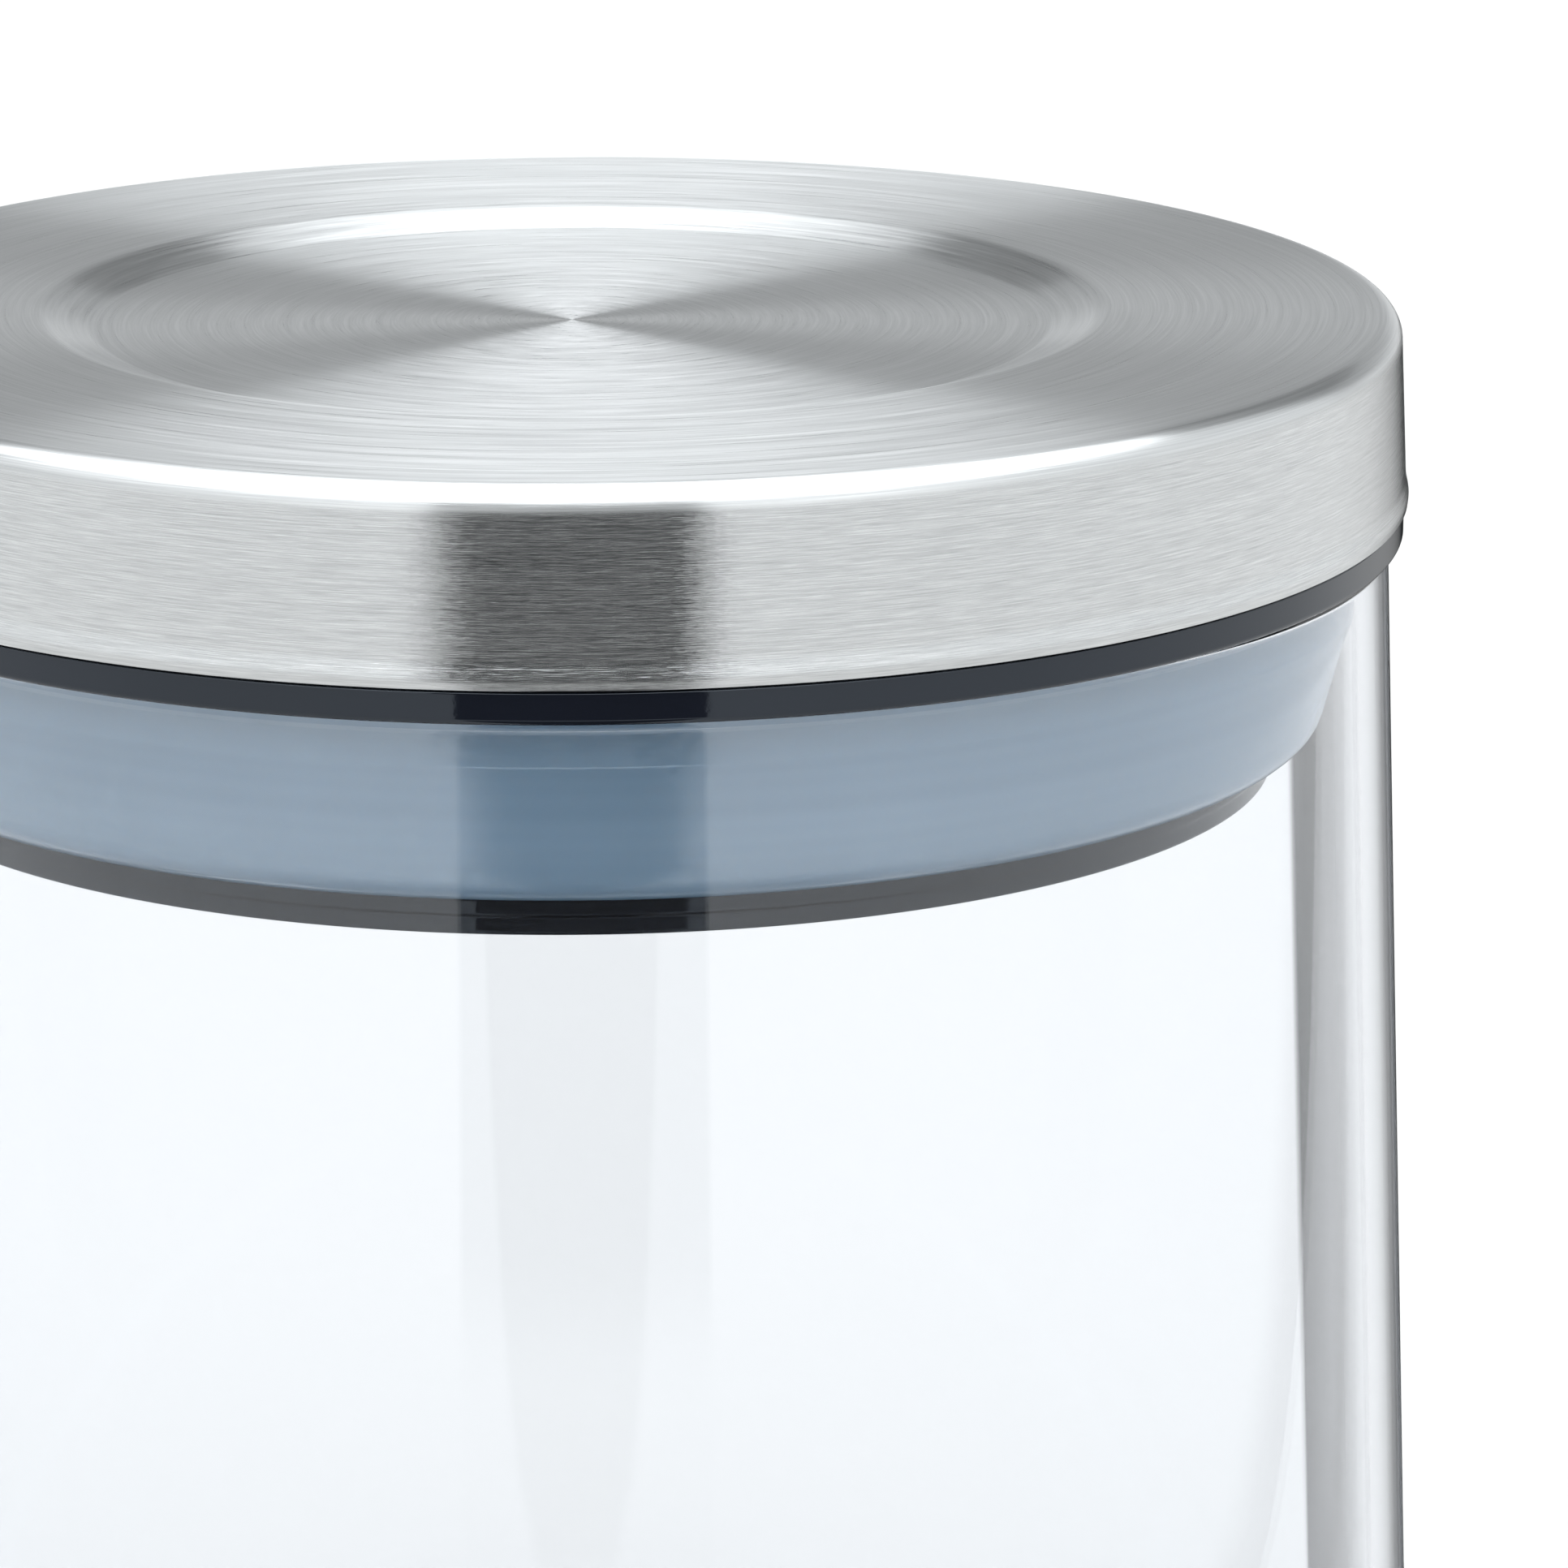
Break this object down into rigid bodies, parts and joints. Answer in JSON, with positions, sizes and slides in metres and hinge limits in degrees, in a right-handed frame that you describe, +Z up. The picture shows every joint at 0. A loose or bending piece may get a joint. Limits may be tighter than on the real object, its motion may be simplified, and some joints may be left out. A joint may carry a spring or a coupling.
{
  "type": "lidded glass canister",
  "caption": "Round clear glass storage canister with leaning walls and a plug lid: dished brushed steel cap, black plug and soft grey silicone seal.",
  "frame": {"origin": "centre of the jar's ring foot, on the surface that it stands on", "axes": "+Z up along the jar's axis of symmetry, the way the lid lifts; the object is round, so +X and +Y are free"},
  "size_m": [0.1072, 0.1072, 0.15],
  "materials": {
    "clear_glass": "clear, fire-polished",
    "brushed_steel": "spin-brushed top, brushed round the side",
    "black_plastic": "moulded, glossy",
    "grey_silicone": "translucent blue-grey, satin",
    "bond": "matt adhesive foam"
  },
  "bodies": {
    "jar": {"glass_jar": "clear_glass"},
    "seal": {"seal_ring": "grey_silicone"},
    "lid": {"steel_cap": "brushed_steel", "bond_pad": "bond", "lid_core": "black_plastic", "base_plate": "black_plastic"}
  },
  "joints": [
    {"name": "lid_lift", "type": "slide", "parent": "jar", "child": "seal", "axis": [0, 0, 1], "range_m": [0, 0.04]},
    {"name": "lid_turn", "type": "hinge", "parent": "seal", "child": "lid", "pos_m": [0, 0, 0.13], "axis": [0, 0, 1], "continuous": true}
  ]
}
